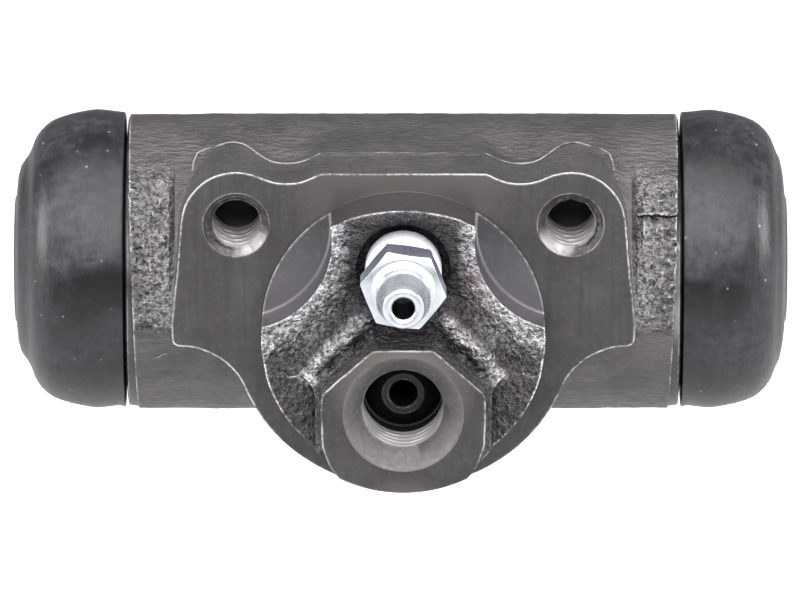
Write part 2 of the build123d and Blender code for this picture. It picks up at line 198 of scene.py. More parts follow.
def nearPoints(node, place, spots):  # 1 at each spot, fading to 0 at its reach
    total = None
    for spot, reach in spots:
        away = node("VectorMath", {"operation": "DISTANCE", 1: spot}, [place])
        near = node("MapRange", {1: reach, 2: reach * 0.25}, [away.outputs["Value"]])
        total = near if total is None else node("Math", "MAXIMUM", [total, near])
    return total


casting = {
    "barrelRadius": 15.875,
    "barrelHalf": 29.5,
    "barrelBehind": 16.3,      # bore axis behind the mounting face
    "barrelAbove": 1.8,        # bore axis above the pilot's centre
    "boltX": 17.75,
    "boltZ": 11.33,
    "earRadius": 5.93,
    "earDraft": 0.35,
    "valleyRadius": 6.0,
    "valleyHeight": 15.98,
    "flangeTop": 17.08,
    "saddleStart": 6.9,
    "saddleHalf": 8.5,
    "footHalfWidth": 24.72,
    "footHeight": -2.35,
    "footRun": 1.1,
    "discRadius": 18.25,
    "discThickness": 7.0,
    "pilotRadius": 15.05,
    "bossHeight": 10.5,
    "portZ": -6.26,
    "bleederZ": 8.2,
    "collarStart": 28.8,
    "collarRadius": 15.62,
    "collarLean": 0.03,
    "voxel": 0.33,             # finest form that the sand leaves
    "barrelGrit": 0.2,         # height of the skin beside the flange
    "reliefGrit": 0.11,        # height of the skin on the pilot's front
    "keptShare": 0.26,         # share of the blank's faces kept
}

axisPoint = (0, casting["barrelBehind"], casting["barrelAbove"])


def flangeOutline():
    boltX, boltZ, ear = casting["boltX"], casting["boltZ"], casting["earRadius"]
    valley, top = casting["valleyRadius"], casting["flangeTop"]
    disc, footX, footZ = casting["discRadius"], casting["footHalfWidth"], casting["footHeight"]
    valleyZ = casting["valleyHeight"] + valley
    valleyX = boltX - math.sqrt((ear + valley) ** 2 - (valleyZ - boltZ) ** 2)
    shoulderAngle = math.asin((top - valleyZ) / valley)
    meetAngle = math.atan2(boltZ - valleyZ, boltX - valleyX)
    lean = math.atan2(boltZ - footZ, footX - boltX) - math.acos(ear / math.hypot(footX - boltX, boltZ - footZ))
    flareX = footX - casting["footRun"]
    flare = (flareX ** 2 + footZ ** 2 - disc ** 2) / (2 * (disc + footZ))
    flareZ = footZ - flare
    discAngle = math.atan2(flareZ, flareX)
    half = arcPoints((valleyX, valleyZ), valley, -math.pi - shoulderAngle, meetAngle, 12)
    half += arcPoints((boltX, boltZ), ear, meetAngle + math.pi, -lean, 28)[1:]
    half += [(footX, footZ + 0.8), (footX - 0.25, footZ + 0.2), (footX - 0.8, footZ)]
    half += arcPoints((flareX, flareZ), flare, math.pi / 2, discAngle + math.pi, 14)
    half += arcPoints((0, 0), disc, discAngle, -math.pi / 2, 40)[1:-1]
    mirrored = [(-x, z) for x, z in reversed(half)]
    return half + [(0, -disc)] + mirrored


def smoothStep(value):
    value = max(0.0, min(1.0, value))
    return value * value * (3 - 2 * value)


def nearestOnPath(x, z, path):  # distance to a path, and its height there
    nearest, height = 1e9, 0.0
    for (x1, z1, h1), (x2, z2, h2) in zip(path, path[1:]):
        runX, runZ = x2 - x1, z2 - z1
        share = max(0.0, min(1.0, ((x - x1) * runX + (z - z1) * runZ) / (runX ** 2 + runZ ** 2)))
        away = math.hypot(x - x1 - runX * share, z - z1 - runZ * share)
        if away < nearest:
            nearest, height = away, h1 + (h2 - h1) * share
    return nearest, height


# The pilot's cast front, as heights out of the mounting face over X and Z
relief = {
    "floor": 3.65,
    "columnRise": 1.5,
    "rim": (12.6, 1.3),        # where the column lifts to its rim, and by how much
    "crest": [(6.9, 15.4, 5.6), (7.0, 12.0, 5.6), (7.2, 9.2, 5.5), (7.8, 6.8, 5.3), (9.0, 4.6, 5.15),
              (11.0, 2.8, 5.0), (13.2, 0.6, 4.9), (15.2, -0.8, 4.8)],
    "crestWidth": 1.75,
    "paintedLight": [                # where the grit gets a painted highlight for the light it catches, on both sides
        ((7.0, -5.6, 12.4), 1.5), ((7.1, -5.6, 10.2), 1.7), ((7.3, -5.4, 8.0), 1.8), ((7.9, -5.2, 5.8), 2.3),
        ((9.2, -5.1, 3.9), 3.0), ((10.8, -5.0, 2.2), 3.5), ((12.4, -4.9, 0.7), 3.1), ((14.1, -4.8, -0.5), 2.4),
        ((4.8, -5.2, 2.0), 1.4), ((6.0, -5.6, 0.6), 1.7), ((7.4, -5.8, -0.8), 1.9), ((8.8, -5.8, -2.3), 1.7),
        ((10.0, -5.6, -3.8), 1.3),
    ],
    "rust": [((7.4, -5.0, 7.2), 1.7), ((7.6, -4.8, 5.2), 1.7), ((8.0, -4.5, 3.4), 1.5)],
    "ridge": [(2.4, 2.6, 4.5), (4.1, 2.5, 5.2), (6.2, 0.2, 5.75), (8.6, -2.1, 5.9), (10.0, -4.3, 5.7),
              (10.0, -6.0, 5.3)],
    "ridgeWidth": 1.7,
    "wing": [(9.6, -4.6, 5.6), (17.0, -4.5, 5.6)],
    "wingWidth": 1.6,
    "wingFlat": 5.25,          # the wings are cut flat beside the boss
    "wingCut": [(17, -2.6), (11.6, -2.9), (10.3, -4.1), (9.55, -4.9), (9.35, -6), (9.35, -16), (17, -16)],
    "highest": 6.35,
}


def bossOutline():
    half = [(3.2, 0.87), (8.65, -4.05), (8.75, -6.0), (8.6, -9.9), (7.8, -12.2), (6.7, -13.5), (6.0, -15.6)]
    return half + [(-x, z) for x, z in reversed(half)]


def reliefHeight(x, z):
    x, floor = abs(x), relief["floor"]
    height = floor + relief["columnRise"] * smoothStep((z - 3.2) / 6.0)
    away, top = nearestOnPath(x, z, relief["crest"])
    if math.hypot(x - casting["boltX"], z - casting["boltZ"]) < 11.0:
        away *= 0.3            # the spot face's side stays up
    height = max(height, floor + (top - floor) * math.exp(-(away / relief["crestWidth"]) ** 2))
    if z > 6:
        start, rise = relief["rim"]
        height += rise * smoothStep((math.hypot(x, z) - start) / 2.2) * max(0.0, 1 - (x / 7.6) ** 2)
    away, top = nearestOnPath(x, z, relief["ridge"])
    height = max(height, floor + (top - floor) * math.exp(-(away / relief["ridgeWidth"]) ** 2))
    away, top = nearestOnPath(x, z, relief["wing"])
    away = max(0.0, z + 4.5) if x > 9.6 else away
    height = max(height, floor + (top - floor) * math.exp(-(away / relief["wingWidth"]) ** 2))
    if z < -4:
        height = max(height, relief["wingFlat"] + 0.35 + 1.3 * math.exp(-(max(0.0, x - 8.7) / 0.6) ** 2))
    return min(height, relief["highest"] + (1.0 if z < -4 else 0.0))


def pastedTogether(target, others):  # all shells in one mesh, for the remesh to join
    bm = bmesh.new()
    for part in [target] + others:
        bm.from_mesh(part.data)
    bm.to_mesh(target.data)
    bm.free()
    for part in others:
        bpy.data.meshes.remove(part.data)


def roughBlank():
    behind, above, radius = casting["barrelBehind"], casting["barrelAbove"], casting["barrelRadius"]
    disc, thickness = casting["discRadius"], casting["discThickness"]
    outline = flangeOutline()
    bm = bmesh.new()
    ends = casting["barrelHalf"] + 1.1
    turned(bm, [(-ends, 0), (-ends, radius), (ends, radius), (ends, 0)], axisPoint, (1, 0, 0), 144)
    # the ears taper a little on their way back to the barrel
    back = prism(bm, [point for point in outline if point[1] > casting["footHeight"] - 0.1], -1.0, behind)
    for vert in back:
        inward = Vector((math.copysign(casting["boltX"], vert.co.x) - vert.co.x, 0, casting["boltZ"] - vert.co.z))
        if abs(vert.co.x) > casting["saddleHalf"]:
            vert.co += inward.normalized() * casting["earDraft"]
    # the saddle between the ears runs up to the barrel's crown
    half, start = casting["saddleHalf"], casting["saddleStart"]
    outlineYZ = [(start, casting["flangeTop"]), (behind, above + radius), (behind, above), (start, above)]
    end = bm.faces.new([bm.verts.new((-half, y, z)) for y, z in outlineYZ])
    moved = bmesh.ops.extrude_face_region(bm, geom=[end])
    bmesh.ops.translate(bm, verts=[item for item in moved["geom"] if isinstance(item, bmesh.types.BMVert)],
                        vec=(2 * half, 0, 0))
    prism(bm, bossOutline(), 1.0, -casting["bossHeight"] - 0.8)
    blank = meshObject("castBlank", bm)
    # the disc's back slopes up to the barrel
    bm = bmesh.new()
    prism(bm, [point for point in outline if point[1] < casting["footHeight"] + 0.3], -1.0, behind)
    bmesh.ops.bisect_plane(bm, geom=bm.verts[:] + bm.edges[:] + bm.faces[:], dist=0.0001,
                           plane_co=(0, thickness, -disc), plane_no=(0, above - radius + disc, thickness - behind),
                           clear_outer=True)
    bmesh.ops.holes_fill(bm, edges=[edge for edge in bm.edges if edge.is_boundary])
    lowerDisc = meshObject("discBlank", bm)
    # the pilot's front, as a round solid with a shaped face
    bm = bmesh.new()
    rings = [0.42 * index for index in range(38)]
    turned(bm, [(1.0, 0), (1.0, rings[-1])] + [(-3.0, radius) for radius in reversed(rings)],
           (0, 0, 0), (0, 1, 0), 240)
    for vert in bm.verts:
        if vert.co.y < -2:
            vert.co.y = -reliefHeight(vert.co.x, vert.co.z)
    pastedTogether(blank, [lowerDisc, meshObject("reliefBlank", bm)])
    remesh = blank.modifiers.new("Remesh", "REMESH")
    remesh.mode = "VOXEL"
    remesh.voxel_size = casting["voxel"]
    soften = blank.modifiers.new("Soften", "SMOOTH")
    soften.factor = 0.5
    soften.iterations = 6
    applyModifiers(blank)
    return blank


def partingLine(place, angle, side, height):  # a low ridge where the two halves of the mould met
    level = math.asin(max(-1.0, min(1.0, (place.z - casting["barrelAbove"]) / 16.0)))
    wander = 0.45 * noise.noise(Vector((place.x * 0.45, 7.0 * side, 0.0)))
    across = (level - math.radians(angle)) * 16 + wander
    beyond = smoothStep((side * place.x - 24.9) / 0.5)
    return height * beyond * math.exp(-(across / 0.3) ** 2)


seam = {"lip": 0.2, "width": 0.3}  # the raised line where the ears and the saddle meet the barrel


def seamLip(place, outline):
    away = 1e9
    if place.z > 16 and abs(place.x) < casting["saddleHalf"] + 0.4 and place.y < 9:
        away = abs(place.y - casting["saddleStart"])
    elif place.z > 10 and 4 < place.y < 14 and abs(place.x) > casting["saddleHalf"]:
        offBarrel = math.hypot(place.y - casting["barrelBehind"], place.z - casting["barrelAbove"])
        offBarrel -= casting["barrelRadius"]
        if abs(offBarrel) < 1.0:
            offEar = nearestOnPath(abs(place.x), place.z, outline)[0]
            away = math.hypot(max(0.0, offEar - casting["earDraft"] * 0.6), offBarrel)
    return seam["lip"] * math.exp(-(away / seam["width"]) ** 2)


def sandSkin(blank):
    outline = [(x, z, 0.0) for x, z in flangeOutline() if x > 0 and z > 9]
    bm = bmesh.new()
    bm.from_mesh(blank.data)
    bm.normal_update()
    for vert in bm.verts:
        place = vert.co
        out = -place.y
        lump = noise.fractal(place * 0.6, 0.9, 2.0, 3)
        grit = noise.fractal(place * 1.3 + Vector((31, 7, 3)), 0.7, 2.0, 3)
        streak = noise.fractal(Vector((place.x * 0.4, place.y * 1.1, place.z * 1.1)), 0.8, 2.0, 3)
        angle = math.degrees(math.atan2(place.z - casting["barrelAbove"], casting["barrelBehind"] - place.y))
        onBarrel = smoothStep((abs(place.x) - 20.5) / 2)
        coarse = smoothStep((angle + 12) / 3) * smoothStep((54 - angle) / 8)
        coarse *= smoothStep((abs(place.x) - 24.95) / 0.6)
        inRelief = smoothStep((out - 0.4) / 1.5) * smoothStep((15.8 - math.hypot(place.x, place.z)) / 1)
        onBoss = smoothStep((out - 6.6) / 1)
        rough = max(coarse, inRelief)
        height = casting["barrelGrit"] if coarse > inRelief else casting["reliefGrit"] * (1 - 0.7 * onBoss)
        push = height * rough * (0.9 * lump + 1.6 * grit)
        calm = 0.5 if abs(place.x) < 25 and out > -6.5 else 1.0
        push += (1 - rough) * calm * (0.045 * streak + 0.025 * grit + 0.03 * lump) - 0.06 * onBarrel
        push += 0.15 * coarse * smoothStep(place.x) * math.exp(-((place.x - 25.7) / 0.55) ** 2)
        push += partingLine(place, 50, -1, 0.22) + partingLine(place, 36, 1, 0.42) + partingLine(place, 52, 1, 0.15)
        push += seamLip(place, outline)
        vert.co += vert.normal * push
    bm.to_mesh(blank.data)
    bm.free()


def ringCutter(profile, origin, axis, steps, finish):
    bm = bmesh.new()
    turned(bm, profile, origin, axis, steps)
    for face in bm.faces:
        face.material_index = finish
    return bm


holes = {
    "spotFace": 10.2,
    "boltMouth": 3.5,
    "boltCore": 2.55,
    "boltDepth": 7.1,
    "boltPitch": 1.27,
    "boltThread": 0.62,        # depth of the thread
    "portMouth": 6.42,
    "portCore": 4.25,
    "portPitch": 1.058,
    "portThread": 0.5,
    "portPassage": 1.5,
    "bleederRecess": 5.0,
    "bleederCore": 3.45,
    "bleederPassage": 1.2,
    "bore": 11.11,
    "bootRecess": 13.3,
    "bootRecessStart": 25,
}


def machine(body, materials):
    (cast, faceFinish, turnedFinish, spotFinish, threadFinish,
     mouthFinish, burrFinish, shadedDrillFinish) = range(8)
    pilot, boss = casting["pilotRadius"], casting["bossHeight"]
    out = (0, -1, 0)
    # the mounting face and the pilot's round, in one turning
    bm = bmesh.new()
    turned(bm, [(0, 45), (0, pilot), (25, pilot), (25, 45), (0, 45)], (0, 0, 0), out, 288)
    bmesh.ops.recalc_face_normals(bm, faces=bm.faces)
    for face in bm.faces:
        face.material_index = faceFinish if abs(face.normal.y) > 0.9 else turnedFinish
    combine(body, bm, materials)
    # the boss's front and the wings beside it
    bm = bmesh.new()
    prism(bm, [(-20, -25), (20, -25), (20, 10), (-20, 10)], -boss, -boss - 15, faceFinish)
    combine(body, bm, materials)
    for side in (-1, 1):
        bm = bmesh.new()
        prism(bm, [(side * x, z) for x, z in relief["wingCut"]], -relief["wingFlat"], -boss - 3, cast)
        combine(body, bm, materials)
        hole = (side * casting["boltX"], 0, casting["boltZ"])
        radius = holes["spotFace"]
        spot = [(0.5, 0), (0.5, radius - 0.2), (0.62, radius), (25, radius), (25, 0)]
        combine(body, ringCutter(spot, hole, out, 144, spotFinish), materials)
        # the threaded hole: a chamfered mouth with a burr, quarter-inch coarse thread and a drill point
        mouth, core, depth = holes["boltMouth"], holes["boltCore"], holes["boltDepth"]
        profile = [(1.0, 0), (1.0, mouth + 1), (0.0, mouth), (-0.42, mouth - 0.34), (-0.5, mouth - 0.5),
                   (-0.85, core)] + stretch(-0.95, -depth, core, 0.13) + [(-depth - 1.3, 0)]
        bm = bmesh.new()
        turned(bm, profile, hole, out, 64)
        for vert in bm.verts:  # the chamfer was cut by hand and chattered
            if 0.05 < vert.co.y < 1.0:
                vert.co.y += 0.16 * noise.noise(vert.co * 1.1)
        cutThread(bm, hole, out, holes["boltPitch"], holes["boltThread"], -depth, -0.9, core)
        for face in bm.faces:
            deep = face.calc_center_median().y
            face.material_index = burrFinish if deep < 0.9 else shadedDrillFinish if deep > depth else threadFinish
        combine(body, bm, materials)
    # the bleeder's recess, its hole and the passage to the bore
    bleeder, radius = (0, 0, casting["bleederZ"]), holes["bleederRecess"]
    core, passage = holes["bleederCore"], holes["bleederPassage"]
    profile = [(12, 0), (12, radius), (4.0, radius), (3.8, radius - 0.2), (3.8, core), (-1.4, core),
               (-3.65, passage), (-12, passage), (-12, 0)]
    combine(body, ringCutter(profile, bleeder, out, 96, cast), materials)
    # the inlet port: chamfer, three-eighths fine thread, and the flare seat that stands in its floor
    port, mouth, core = (0, 0, casting["portZ"]), holes["portMouth"], holes["portCore"]
    profile = [(boss + 1, 0), (boss + 1, mouth + 1), (boss, mouth), (boss - 0.12, mouth - 0.2),
               (boss - 0.4, mouth - 0.5)] + stretch(8.33, 3.9, core, 0.13)
    passage = holes["portPassage"]
    profile += [(3.9, 4.6), (1.44, 4.6), (3.62, 2.42), (3.8, 2.24), (3.8, passage + 0.1), (3.7, passage),
                (-13, passage), (-13, 0)]
    bm = bmesh.new()
    turned(bm, profile, port, out, 96)
    cutThread(bm, port, out, holes["portPitch"], holes["portThread"], 3.85, 8.34, core)
    for face in bm.faces:
        face.material_index = mouthFinish if face.calc_center_median().y < -8.3 else threadFinish
    combine(body, bm, materials)
    # the bore, with a recess for a boot at each end
    bore, recess, start = holes["bore"], holes["bootRecess"], holes["bootRecessStart"]
    profile = [(-32, 0), (-32, recess), (-start, recess), (-start, bore + 0.5), (0.5 - start, bore)]
    profile += [(-along, radius) for along, radius in reversed(profile)]
    combine(body, ringCutter(profile, axisPoint, (1, 0, 0), 128, turnedFinish), materials)
    end, start, inside = casting["barrelHalf"], casting["collarStart"], casting["collarRadius"]
    for side in (-1, 1):
        profile = [(end, 0), (end, 15.3), (end - 0.08, 15.5), (start + 0.12, inside),
                   (start + 0.05, inside + 0.1), (start, inside + 0.3), (start, 22), (34, 22), (34, 0)]
        bm = bmesh.new()
        turned(bm, profile, axisPoint, (side, 0, 0), 160)
        for vert in bm.verts:  # the rough barrel leans in its chuck, so the collar widens downwards
            if abs(vert.co.x) < start + 0.2:
                vert.co.x += side * casting["collarLean"] * (vert.co.z - casting["barrelAbove"])
        for face in bm.faces:
            face.material_index = turnedFinish
        combine(body, bm, materials)


flash = {
    "radius": 0.11,            # the thin fin where the ears and the saddle meet the barrel, in a finish painted light as a highlight
    "depths": [(0, 6.9), (14.3, 6.9), (15.5, 7.8), (17.0, 9.9), (18.2, 10.5), (20.4, 10.3)],
    "tail": [(21.2, 9.95, 16.52), (21.96, 9.42, 16.28), (22.34, 8.22, 15.68), (22.45, 7.42, 15.14),
             (22.45, 6.5, 14.5)],
    "crackRadius": 0.06,
    "crack": [(-25.0, 1.3, -3.5), (-25.6, 1.45, -3.65), (-26.1, 1.4, -4.0), (-26.8, 1.6, -4.25)],
}


def flashPath():
    half = [(0, 6.9, casting["flangeTop"] + 0.05), (4, 6.9, casting["flangeTop"] + 0.05)]
    for x, z in flangeOutline():
        if 8 < x < 20.3 and z > 14:
            for (nearX, nearDepth), (farX, farDepth) in zip(flash["depths"], flash["depths"][1:]):
                if nearX <= x <= farX:
                    depth = nearDepth + (farDepth - nearDepth) * (x - nearX) / (farX - nearX)
            half.append((x, depth, z - 0.012 * depth + 0.03))
    half += flash["tail"]
    return [(-x, y, z) for x, y, z in reversed(half[1:])] + half


def flashLine(body, path, radius, materials, finish):
    curve = bpy.data.curves.new("flashLine", "CURVE")
    curve.dimensions = "3D"
    curve.bevel_depth = radius
    curve.bevel_resolution = 1
    curve.use_fill_caps = True
    line = curve.splines.new("POLY")
    line.points.add(len(path) - 1)
    for point, place in zip(line.points, path):
        point.co = (*place, 1)
    line.points[0].radius = line.points[-1].radius = 0.2
    holder = bpy.data.objects.new("flashLine", curve)
    scene.collection.objects.link(holder)
    tube = bpy.data.meshes.new_from_object(holder.evaluated_get(bpy.context.evaluated_depsgraph_get()))
    bm = bmesh.new()
    bm.from_mesh(tube)
    bmesh.ops.remove_doubles(bm, verts=bm.verts, dist=0.001)
    for face in bm.faces:
        face.material_index = finish
    bpy.data.meshes.remove(tube)
    bpy.data.curves.remove(curve)
    combine(body, bm, materials, "UNION")


edges = {
    "fine": 0.00026,           # how far an edge's wear and its painted highlight reach, in metres
    "round": 0.0001,
    "marks": 0.00003,          # depth of the finest tool marks
    "hollowShade": 0.0045,          # how far a hollow's shade reaches
}


def outerEdge(node, start, full, most=1.0):
    # Looks inward for a near surface, which is there only along outer edges
    inward = node("AmbientOcclusion", {"inside": True, "only_local": True, "samples": 6, "Distance": edges["fine"]})
    return node("MapRange", {1: start, 2: full, 4: most}, [inward.outputs["AO"]])


def wornEdgeHighlight(node, place):  # painted highlight on worn edges: it comes and goes along an edge, and there is less of it low down
    chips = node("TexNoise", {"Scale": 1.7, "Detail": 2.0, "Roughness": 0.6}, [place])
    runs = node("TexNoise", {"Scale": 0.16, "Detail": 2.0}, [place])
    ragged = node("Math", "ADD", [chips, runs])
    ragged = node("MapRange", {1: 0.82, 2: 1.1, 3: 0.1, 4: 1.0}, [ragged])
    height = node("SeparateXYZ", links=[place]).outputs[2]
    ragged = within(node, ragged, height, -13.0, -8.5, 1.0, 0.15)
    return node("Math", "MULTIPLY", [outerEdge(node, 0.9, 0.66), ragged])


def sandCastIron():
    # Grey iron as it leaves the sand: dark and grainy, glossy on the grit, with painted highlights on the grit and
    # the edges and painted shade in the hollows
    material, node, place = startMaterial("sandCastIron")
    x, y, z = node("SeparateXYZ", links=[place]).outputs
    # the barrel beside the flange and the pilot's front are the roughest
    sideways = node("Math", "ABSOLUTE", [x])
    forward = node("Math", {"operation": "SUBTRACT", 0: casting["barrelBehind"]}, {1: y})
    upward = node("Math", {"operation": "SUBTRACT", 1: casting["barrelAbove"]}, [z])
    angle = node("Math", "ARCTAN2", [upward, forward])
    barrelZone = node("MapRange", {1: -0.2, 2: -0.13}, [angle])
    barrelZone = within(node, barrelZone, angle, 1.1, 0.8)
    barrelZone = within(node, barrelZone, sideways, 24.3, 24.9)
    across = node("CombineXYZ", links=[x, z])
    fromPilot = node("VectorMath", "LENGTH", [across]).outputs["Value"]
    pilotZone = node("MapRange", {1: 15.3, 2: 15.1}, [fromPilot])
    pilotZone = within(node, pilotZone, y, -0.4, -0.8)
    rough = node("Math", "MAXIMUM", [barrelZone, pilotZone])
    smooth = node("Math", {"operation": "SUBTRACT", 0: 1.0}, {1: rough})
    # grains of 1.0 and 0.45 mm, blotches of 5 mm and streaks drawn out along the barrel
    lumps = node("TexNoise", {"Scale": 1.0, "Detail": 3.0, "Roughness": 0.6}, [place])
    grit = node("TexNoise", {"Scale": 2.4, "Detail": 3.0, "Roughness": 0.6}, [place])
    blotches = node("TexNoise", {"Scale": 0.2, "Detail": 4.0, "Roughness": 0.6}, [place])
    drawn = node("Mapping", {"Scale": (0.8, 2.0, 2.0)}, [place])
    streaks = node("TexNoise", {"Scale": 1.0, "Detail": 4.0, "Roughness": 0.65}, [drawn])
    lines = within(node, smooth, streaks, 0.45, 0.68, 0.4)
    pits = within(node, rough, grit, 0.52, 0.38, 0.75)
    # the grit gets painted highlights on the pilot's front, and beside the flange most of all next to it
    mirrored = node("CombineXYZ", links=[sideways, y, z])
    glintsBesideFlange = within(node, barrelZone, sideways, 28.6, 25.2, 0.37, 0.1)
    paintedLight = node("Math", "MAXIMUM", [nearPoints(node, mirrored, relief["paintedLight"]), glintsBesideFlange])
    paintedLight = within(node, paintedLight, grit, 0.41, 0.58, 1.0, 0.18)
    # painted shade: the rough zones go dark where other surfaces are near, as in the hollows
    shade = node("AmbientOcclusion", {"only_local": True, "samples": 6, "Distance": edges["hollowShade"]})
    hollowShade = within(node, rough, shade.outputs["AO"], 0.82, 0.45, 0.8)
    # a painted shadow round the bleeder's recess, on the pilot's front
    bleederCentre = (0, casting["bleederZ"], 0)
    fromBleeder = node("VectorMath", {"operation": "DISTANCE", 1: bleederCentre}, [across]).outputs["Value"]
    bleederShadow = within(node, pilotZone, fromBleeder, 6.6, 5.0, 0.8)
    # rust in one streak down the pilot's front, and faint patches elsewhere
    streak = within(node, nearPoints(node, place, relief["rust"]), grit, 0.42, 0.6, 0.75)
    patches = node("MapRange", {1: 0.62, 2: 0.78, 4: 0.2}, [blotches])
    rust = node("Math", "MAXIMUM", [streak, patches])
    # painted highlight along the worn edges, kept off the bleeder's recess
    wornEdgeLight = within(node, wornEdgeHighlight(node, place), fromBleeder, 5.3, 5.8)
    coats = [(lines, "#4A4749"), (pilotZone, "#575456"), (pits, "#302D2F"), (paintedLight, "#DDDADD"),
             (hollowShade, "#282527"), (bleederShadow, "#28262A"), (rust, "#7E564C"), (wornEdgeLight, "#EDEBEC")]
    # on the right the mould's joint left a step, painted as a light line for its lit edge over a dark line for its
    # shade
    wander = node("Math", {"operation": "MULTIPLY_ADD", 1: 0.05}, {0: lumps, 2: angle})
    for level, stepShading in ((0.668, "#B4B1B4"), (0.652, "#1E1C1E")):
        line = node("Math", {"operation": "COMPARE", 1: level, 2: 0.008}, [wander])
        coats.append((within(node, line, x, 24.8, 25.2), stepShading))
    tone = node("ValToRGB", {"ramp": [(0.34, "#5E5B5D"), (0.66, "#706D6F")]}, [blotches])
    for amount, colour in coats:
        tone = node("Mix", {7: colour}, {0: amount, 6: tone})
    gloss = node("MapRange", {1: 0.3, 2: 0.7, 3: 0.44, 4: 0.26}, [lumps])
    gloss = node("Math", {"operation": "MULTIPLY_ADD", 1: 0.12}, {0: smooth, 2: gloss})
    coarse = node("Math", {"operation": "MULTIPLY_ADD", 1: 0.35}, {0: grit, 2: lumps})
    coarse = node("Math", "MULTIPLY", [coarse, rough])
    fine = node("Math", {"operation": "MULTIPLY", 1: 0.3}, [streaks])
    fine = node("Math", "MULTIPLY_ADD", [fine, smooth, coarse])
    bump = node("Bump", {"Strength": 1.0, "Distance": 0.0011}, {"Height": fine})
    return endMaterial(material, {"Metallic": 0.75}, {"Base Color": tone, "Roughness": gloss, "Normal": bump})


def machinedIron(name, look):
    # Cut grey iron: even, faintly mottled, with tool marks and worn edges that carry a painted highlight
    material, node, place = startMaterial(name)
    dark, light, speck, edge = look["tones"]
    blotches = node("TexNoise", {"Scale": 0.16, "Detail": 4.0, "Roughness": 0.6}, [place])
    fine = node("TexNoise", {"Scale": 1.6, "Detail": 3.0, "Roughness": 0.6}, [place])
    pulled = node("Mapping", {"Scale": (1.2, 1.0, 0.12)}, [place])
    marks = node("TexNoise", {"Scale": 1.0, "Detail": 3.0, "Roughness": 0.6}, [pulled])
    coats = [(node("MapRange", {1: 0.5, 2: 0.75, 4: 0.35}, [fine]), speck),
             (node("MapRange", {1: 0.5, 2: 0.68, 4: 0.6}, [marks]), dark)]
    height = fine
    apart = node("SeparateXYZ", links=[place]).outputs
    x, z = apart[0], apart[2]
    sideways = node("Math", "ABSOLUTE", [x])
    flatPlace = node("CombineXYZ", links=[sideways, z])
    boltCentre = (casting["boltX"], casting["boltZ"], 0)
    if "ringWidth" in look:  # rings round each bolt hole, from the spot facer, a painted highlight along the border, and painted light that grows towards the bottom
        away = node("VectorMath", {"operation": "DISTANCE", 1: boltCentre}, [flatPlace]).outputs["Value"]
        height = node("TexNoise", {"noise_dimensions": "1D", "Scale": 1 / look["ringWidth"], "Detail": 2.0},
                      {"W": away})
        rings = node("MapRange", {1: 0.42, 2: 0.66, 4: 0.4}, [height])
        reach = holes["spotFace"]
        borderHighlight = node("MapRange", {1: reach - 0.34, 2: reach - 0.24, 4: 0.6}, [away])
        borderHighlight = within(node, borderHighlight, away, reach - 0.02, reach - 0.12)
        # painted light: the spot face is lighter towards the bottom
        cloud = node("MapRange", {1: 5.0, 2: 12.5, 3: 0.55, 4: 0.0}, [z])
        coats += [(rings, dark), (borderHighlight, edge), (cloud, speck)]
    for centre, core in look.get("crests", []):  # a thread's crests get a painted highlight, its roots stay dark
        away = node("VectorMath", {"operation": "DISTANCE", 1: centre}, [flatPlace]).outputs["Value"]
        crest = node("MapRange", {1: core - 0.12, 2: core - 0.04}, [away])
        coats.append((within(node, crest, away, core + 0.34, core + 0.08, 0.9), look["crestHighlightTone"]))
    if "scar" in look:  # a broken dark ring, where the tap tore the mouth
        away = node("VectorMath", {"operation": "DISTANCE", 1: boltCentre}, [flatPlace]).outputs["Value"]
        wavy = node("Math", {"operation": "MULTIPLY_ADD", 1: 0.7}, {0: fine, 2: away})
        ring = node("Math", {"operation": "COMPARE", 1: look["scar"] + 0.35, 2: 0.09}, [wavy])
        coats.append((within(node, ring, blotches, 0.42, 0.5, 0.9), "#211A1B"))
    # spots of painted light, in their own tone
    if "paintedLight" in look:
        coats.append((nearPoints(node, place, look["paintedLight"]), look["paintedLightTone"]))
    if "rust" in look:
        wet = node("TexNoise", {"Scale": 0.7, "Detail": 4.0, "Roughness": 0.7}, [place])
        coats.append((node("MapRange", {1: 0.54, 2: 0.64, 4: look["rust"]}, [wet]), "#4C3A36"))
    tone = node("ValToRGB", {"ramp": [(0.32, dark), (0.68, light)]}, [blotches])
    # the worn edges get a painted highlight
    for amount, colour in coats + [(wornEdgeHighlight(node, place), edge)]:
        tone = node("Mix", {7: colour}, {0: amount, 6: tone})
    gloss = node("MapRange", {1: 0.3, 2: 0.7, 3: look["roughness"] + 0.06, 4: look["roughness"]}, [fine])
    rounded = node("Bevel", {"samples": 4, "Radius": edges["round"]})
    depth = look.get("depth", edges["marks"])
    bump = node("Bump", {"Strength": 0.5, "Distance": depth}, {"Height": height, "Normal": rounded})
    return endMaterial(material, {"Metallic": look.get("metal", 0.65)},
                       {"Base Color": tone, "Roughness": gloss, "Normal": bump})


